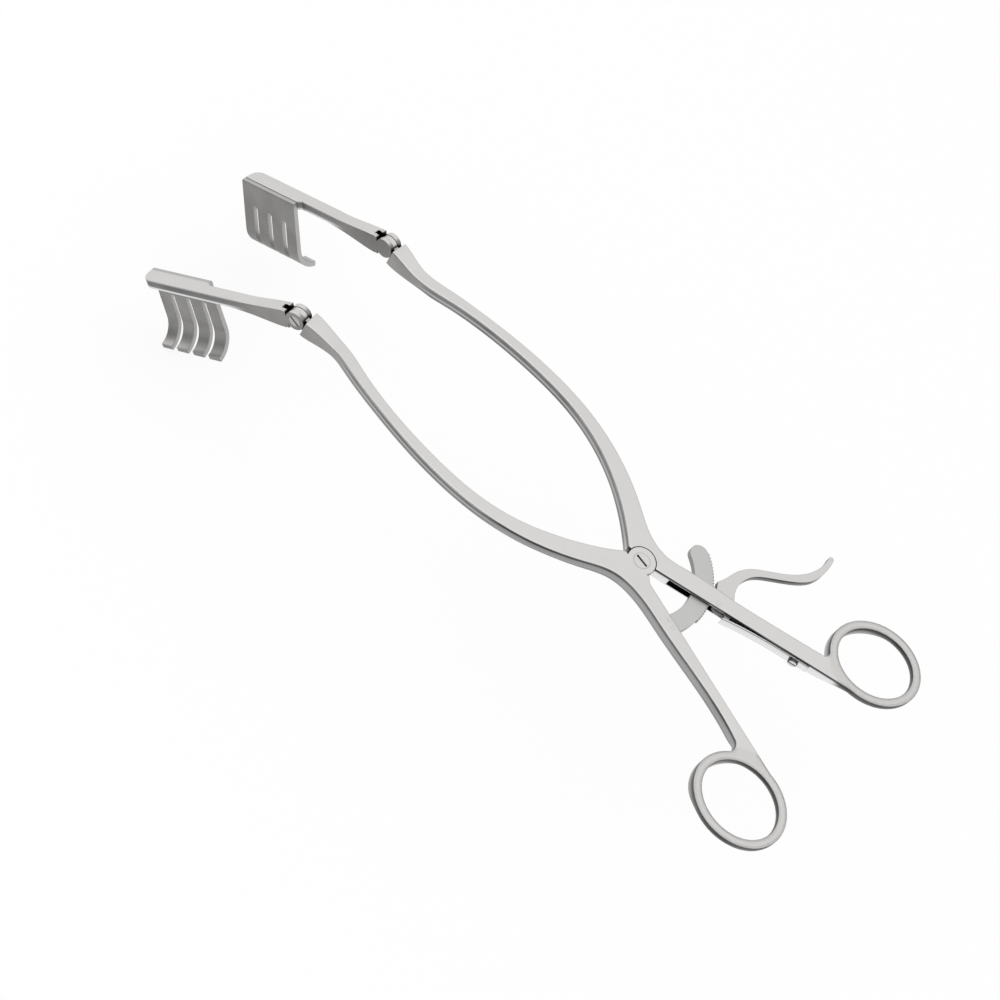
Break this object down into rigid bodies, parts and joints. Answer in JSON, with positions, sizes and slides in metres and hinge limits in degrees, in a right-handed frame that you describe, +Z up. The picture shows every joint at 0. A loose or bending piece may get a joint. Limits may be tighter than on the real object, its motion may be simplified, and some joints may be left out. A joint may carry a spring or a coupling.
{
  "type": "laminectomy retractor",
  "caption": "Self-retaining surgical retractor: two lap-jointed arms with finger rings, a curved ratchet, a release lever and hinged four-prong blades.",
  "frame": {"origin": "on the pivot axis at the flat underside of the lap joint", "axes": "+X along the mid-line from the pivot to the finger rings, +Y towards the right arm, which carries the release lever, +Z up out of the arms' top faces; the prongs point to -Z"},
  "size_m": [0.3099, 0.1225, 0.0689],
  "materials": {
    "satin_steel": "satin glass-bead finish",
    "screw_steel": "turned and polished",
    "rack_steel": "satin",
    "plate_steel": "satin",
    "spring_steel": "polished spring strip"
  },
  "bodies": {
    "right_arm": {"right_frame_arm": "satin_steel", "pivot_screw": "screw_steel", "lever_pin": "screw_steel", "leaf_spring": "spring_steel", "spring_screw": "screw_steel"},
    "left_arm": {"left_frame_arm": "satin_steel", "ratchet_rack": "rack_steel", "rack_rivets": "screw_steel"},
    "lever": {"release_lever": "rack_steel"},
    "right_blade": {"right_blade_arm": "satin_steel", "right_prong_plate": "plate_steel", "right_hinge_screw": "screw_steel"},
    "left_blade": {"left_blade_arm": "satin_steel", "left_prong_plate": "plate_steel", "left_hinge_screw": "screw_steel"}
  },
  "joints": [
    {"name": "arm_pivot", "type": "hinge", "parent": "right_arm", "child": "left_arm", "pos_m": [0, 0, 0.0029], "axis": [0, 0, 1], "range_deg": [-12.5, 30]},
    {"name": "lever_hinge", "type": "hinge", "parent": "right_arm", "child": "lever", "pos_m": [0.0299, 0.0099, 0.0029], "axis": [0, 0, -1], "range_deg": [-6, 8], "stiffness_Nm_per_rad": 1.5, "springref_deg": -6.02, "deforming": ["leaf_spring"]},
    {"name": "right_blade_hinge", "type": "hinge", "parent": "right_arm", "child": "right_blade", "pos_m": [-0.145, 0.0253, 0.0033], "axis": [-0.0941, -0.9956, 0], "range_deg": [-30, 33]},
    {"name": "left_blade_hinge", "type": "hinge", "parent": "left_arm", "child": "left_blade", "pos_m": [-0.145, -0.0253, 0.0033], "axis": [0.0941, -0.9956, 0], "range_deg": [-37.5, 25.5]}
  ]
}
